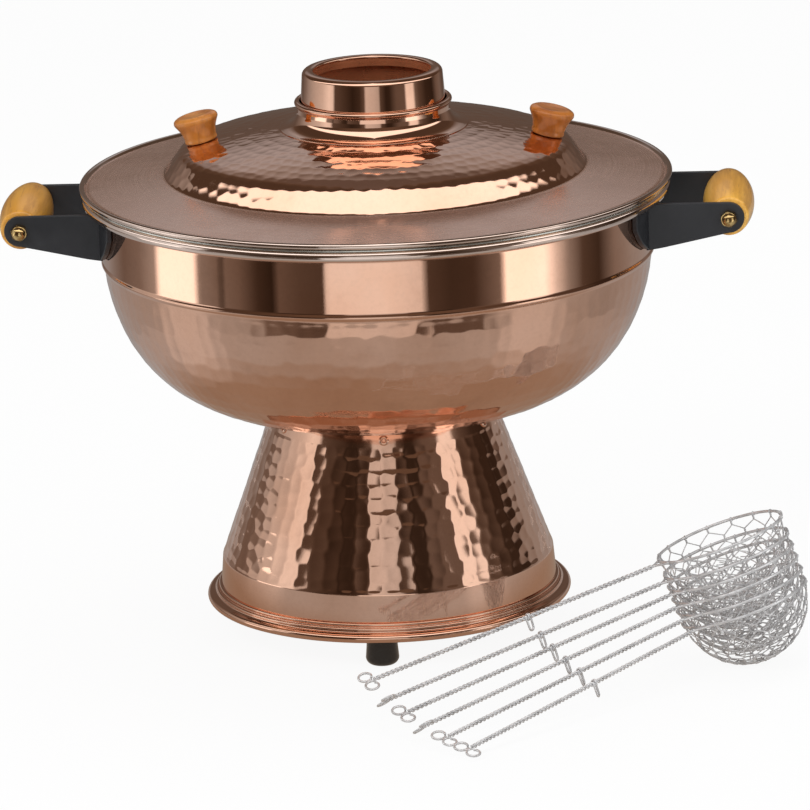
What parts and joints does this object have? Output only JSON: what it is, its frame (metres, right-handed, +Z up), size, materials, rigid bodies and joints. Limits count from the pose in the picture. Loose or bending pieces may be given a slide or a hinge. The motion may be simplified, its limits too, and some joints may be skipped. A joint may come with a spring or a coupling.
{
  "type": "chimney hot pot with strainers",
  "caption": "Copper hot pot with a central flue, a domed lid with wood knobs, a hammered pedestal over a burner, and a nest of long wire strainers.",
  "frame": {"origin": "on the table, under the flue's axis", "axes": "+Z up along the flue, +X towards the right handle and the strainers, +Y towards the back"},
  "size_m": [0.4325, 0.4127, 0.3086],
  "materials": {
    "copper": "polished and hammered",
    "tin": "satin",
    "steel": "satin",
    "wire": "bright",
    "brass": "polished",
    "wood": "lacquered",
    "black_coat": "satin",
    "rubber": "gloss",
    "burner_wool": "matt"
  },
  "bodies": {
    "stand": {"pedestal_cone": "copper", "pot_seat": "steel", "seat_rivets": "copper", "base_plate": "copper", "front_foot": "rubber", "left_foot": "rubber", "right_foot": "rubber", "foot_studs": "steel", "foot_nuts": "steel", "burner_tray": "steel"},
    "burner": {"burner_cup": "steel", "burner_pad": "burner_wool", "burner_grid": "steel"},
    "pot": {"bowl_shell": "copper", "bowl_lining": "tin", "flue_tube": "copper", "locating_ring": "steel", "left_bracket": "black_coat", "left_grip": "wood", "left_rod": "steel", "left_cap_nuts": "brass", "left_rivets": "black_coat", "right_bracket": "black_coat", "right_grip": "wood", "right_rod": "steel", "right_cap_nuts": "brass", "right_rivets": "black_coat"},
    "lid": {"lid_shell": "copper", "lid_collar": "copper", "left_knob": "wood", "right_knob": "wood", "knob_screws": "steel", "knob_washers": "steel"},
    "strainer_1": {"strainer_1_handle": "wire", "strainer_1_basket": "wire"},
    "strainer_2": {"strainer_2_handle": "wire", "strainer_2_basket": "wire"},
    "strainer_3": {"strainer_3_handle": "wire", "strainer_3_basket": "wire"},
    "strainer_4": {"strainer_4_handle": "wire", "strainer_4_basket": "wire"},
    "strainer_5": {"strainer_5_handle": "wire", "strainer_5_basket": "wire"},
    "strainer_6": {"strainer_6_handle": "wire", "strainer_6_basket": "wire"}
  },
  "joints": [
    {"name": "pot_lift", "type": "slide", "parent": "stand", "child": "pot", "axis": [0, 0, 1], "range_m": [0, 0.1]},
    {"name": "lid_lift", "type": "slide", "parent": "pot", "child": "lid", "axis": [0, 0, 1], "range_m": [0, 0.08]},
    {"name": "burner_lift", "type": "slide", "parent": "stand", "child": "burner", "axis": [0, 0, 1], "range_m": [0, 0.05]},
    {"name": "strainer_6_lift", "type": "slide", "parent": "stand", "child": "strainer_6", "axis": [-0.2366, -0.1189, 0.9643], "range_m": [0, 0.015]},
    {"name": "strainer_5_lift", "type": "slide", "parent": "strainer_6", "child": "strainer_5", "axis": [-0.2366, -0.1189, 0.9643], "range_m": [0, 0.015]},
    {"name": "strainer_4_lift", "type": "slide", "parent": "strainer_5", "child": "strainer_4", "axis": [-0.2366, -0.1189, 0.9643], "range_m": [0, 0.015]},
    {"name": "strainer_3_lift", "type": "slide", "parent": "strainer_4", "child": "strainer_3", "axis": [-0.2366, -0.1189, 0.9643], "range_m": [0, 0.015]},
    {"name": "strainer_2_lift", "type": "slide", "parent": "strainer_3", "child": "strainer_2", "axis": [-0.2366, -0.1189, 0.9643], "range_m": [0, 0.015]},
    {"name": "strainer_1_lift", "type": "slide", "parent": "strainer_2", "child": "strainer_1", "axis": [-0.2366, -0.1189, 0.9643], "range_m": [0, 0.04]}
  ]
}
